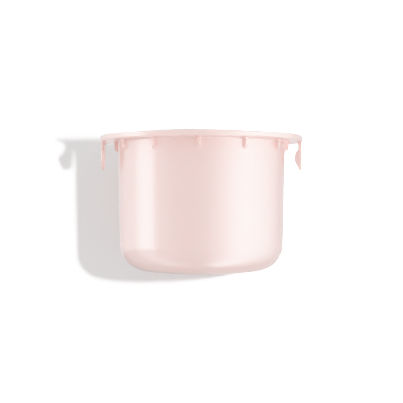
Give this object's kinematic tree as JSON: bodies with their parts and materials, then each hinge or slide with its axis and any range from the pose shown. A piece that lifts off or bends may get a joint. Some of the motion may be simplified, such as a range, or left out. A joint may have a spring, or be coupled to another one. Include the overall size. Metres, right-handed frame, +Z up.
{
  "type": "inner refill pot",
  "caption": "Round snap-in inner pot with a wide thin flange, small fins under it, two hanging lock tongues and a peel-off foil seal with a lift tab.",
  "frame": {"origin": "middle of the pot's flat bottom", "axes": "+Z up along the pot's own axis, +X through the right tongue, -Y towards the viewer, +Y towards the lift tab"},
  "size_m": [0.058, 0.058, 0.0386],
  "materials": {
    "pink_plastic": "glossy, slightly translucent pale pink polypropylene",
    "seal_foil": "satin heat-sealed foil laminate",
    "tab_foil": "satin foil laminate with an embossed grip"
  },
  "bodies": {
    "pot": {"cup": "pink_plastic"},
    "right_tongue": {"tongue_right": "pink_plastic"},
    "left_tongue": {"tongue_left": "pink_plastic"},
    "seal": {"seal_foil": "seal_foil"},
    "tab": {"pull_tab": "tab_foil"}
  },
  "joints": [
    {"name": "right_tongue_flex", "type": "hinge", "parent": "pot", "child": "right_tongue", "pos_m": [0.02835, 0, 0.0367], "axis": [0, 1, 0], "range_deg": [-4, 6], "stiffness_Nm_per_rad": 0.1},
    {"name": "left_tongue_flex", "type": "hinge", "parent": "pot", "child": "left_tongue", "pos_m": [-0.02835, 0, 0.0367], "axis": [0, -1, 0], "range_deg": [-4, 6], "stiffness_Nm_per_rad": 0.1},
    {"name": "seal_lift", "type": "slide", "parent": "pot", "child": "seal", "axis": [0, 0, 1], "range_m": [0, 0.05]},
    {"name": "tab_fold", "type": "hinge", "parent": "seal", "child": "tab", "pos_m": [0, 0.0025, 0.03855], "axis": [1, 0, 0], "range_deg": [0, 165]}
  ]
}
